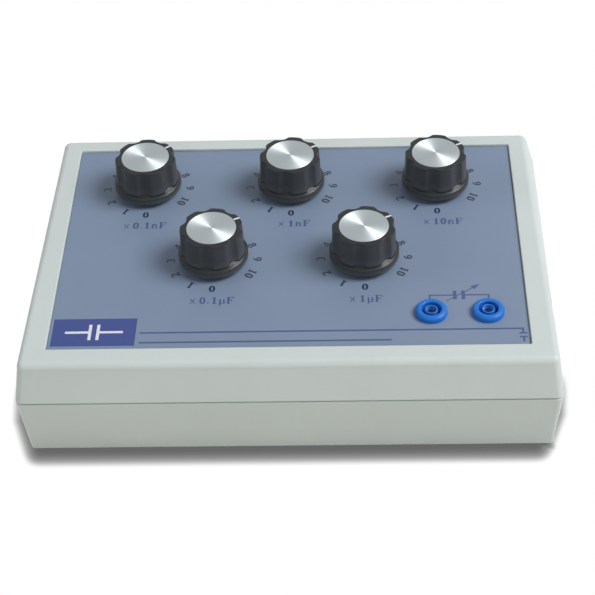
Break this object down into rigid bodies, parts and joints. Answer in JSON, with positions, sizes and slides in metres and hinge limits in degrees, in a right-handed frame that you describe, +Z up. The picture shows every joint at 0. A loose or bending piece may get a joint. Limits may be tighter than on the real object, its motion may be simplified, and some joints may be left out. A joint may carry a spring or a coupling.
{
  "type": "capacitance box",
  "caption": "Bench decade capacitance box: pale two-part case, recessed blue-grey panel with fluted rotary decade knobs and a pair of shrouded output sockets.",
  "frame": {"origin": "under the middle of the case, on the plane that the feet stand on", "axes": "+X to the right along the panel, +Y to the rear, +Z up"},
  "size_m": [0.242, 0.172, 0.0709],
  "materials": {
    "case_plastic": "fine satin texture, pale grey",
    "panel_paint": "matt blue-grey with dark print",
    "knob_bakelite": "satin black moulding",
    "cap_aluminium": "spun, clear",
    "brass": "turned",
    "steel": "zinc plated",
    "shaft_metal": "turned",
    "switch_plastic": "moulded",
    "phenolic": "laminate",
    "contact_metal": "nickel plated",
    "board": "glass-fibre laminate, green",
    "capacitor_case": "film capacitor box",
    "socket_plastic": "blue moulding",
    "lead_insulation": "PVC insulation",
    "panel_print": "screen print on the panel",
    "pointer_paint": "white fill in the knob's groove",
    "rubber": "moulded"
  },
  "bodies": {
    "case": {"upper_case": "case_plastic", "lower_case": "case_plastic", "case_screws": "steel", "rubber_feet": "rubber", "front_panel": "panel_paint", "switch_nuts": "steel", "switch_washers": "steel", "switch_wafers": "phenolic", "switch_contacts": "contact_metal", "circuit_board": "board", "socket_body_left": "socket_plastic", "socket_body_right": "socket_plastic", "socket_contact_left": "contact_metal", "socket_contact_right": "contact_metal", "socket_nuts": "steel", "lead_left": "lead_insulation", "lead_right": "lead_insulation", "switch_housing_1": "switch_plastic", "capacitors_1": "capacitor_case", "switch_housing_2": "switch_plastic", "capacitors_2": "capacitor_case", "switch_housing_3": "switch_plastic", "capacitors_3": "capacitor_case", "switch_housing_4": "switch_plastic", "capacitors_4": "capacitor_case", "switch_housing_5": "switch_plastic", "capacitors_5": "capacitor_case"},
    "decade_1": {"knob_1": "knob_bakelite", "knob_cap_1": "cap_aluminium", "knob_bush_1": "brass", "knob_set_screw_1": "steel", "switch_shaft_1": "shaft_metal", "switch_wiper_1": "brass"},
    "decade_2": {"knob_2": "knob_bakelite", "knob_cap_2": "cap_aluminium", "knob_bush_2": "brass", "knob_set_screw_2": "steel", "switch_shaft_2": "shaft_metal", "switch_wiper_2": "brass"},
    "decade_3": {"knob_3": "knob_bakelite", "knob_cap_3": "cap_aluminium", "knob_bush_3": "brass", "knob_set_screw_3": "steel", "switch_shaft_3": "shaft_metal", "switch_wiper_3": "brass"},
    "decade_4": {"knob_4": "knob_bakelite", "knob_cap_4": "cap_aluminium", "knob_bush_4": "brass", "knob_set_screw_4": "steel", "switch_shaft_4": "shaft_metal", "switch_wiper_4": "brass"},
    "decade_5": {"knob_5": "knob_bakelite", "knob_cap_5": "cap_aluminium", "knob_bush_5": "brass", "knob_set_screw_5": "steel", "switch_shaft_5": "shaft_metal", "switch_wiper_5": "brass"}
  },
  "joints": [
    {"name": "decade_1_turn", "type": "hinge", "parent": "case", "child": "decade_1", "pos_m": [-0.0706, 0.04375, 0.0513], "axis": [0, 0, 1], "range_deg": [-60, 240]},
    {"name": "decade_2_turn", "type": "hinge", "parent": "case", "child": "decade_2", "pos_m": [-0.0006, 0.04375, 0.0513], "axis": [0, 0, 1], "range_deg": [-60, 240]},
    {"name": "decade_3_turn", "type": "hinge", "parent": "case", "child": "decade_3", "pos_m": [0.0694, 0.04375, 0.0513], "axis": [0, 0, 1], "range_deg": [-60, 240]},
    {"name": "decade_4_turn", "type": "hinge", "parent": "case", "child": "decade_4", "pos_m": [-0.0356, -0.01025, 0.0513], "axis": [0, 0, 1], "range_deg": [-60, 240]},
    {"name": "decade_5_turn", "type": "hinge", "parent": "case", "child": "decade_5", "pos_m": [0.0344, -0.01025, 0.0513], "axis": [0, 0, 1], "range_deg": [-60, 240]}
  ]
}
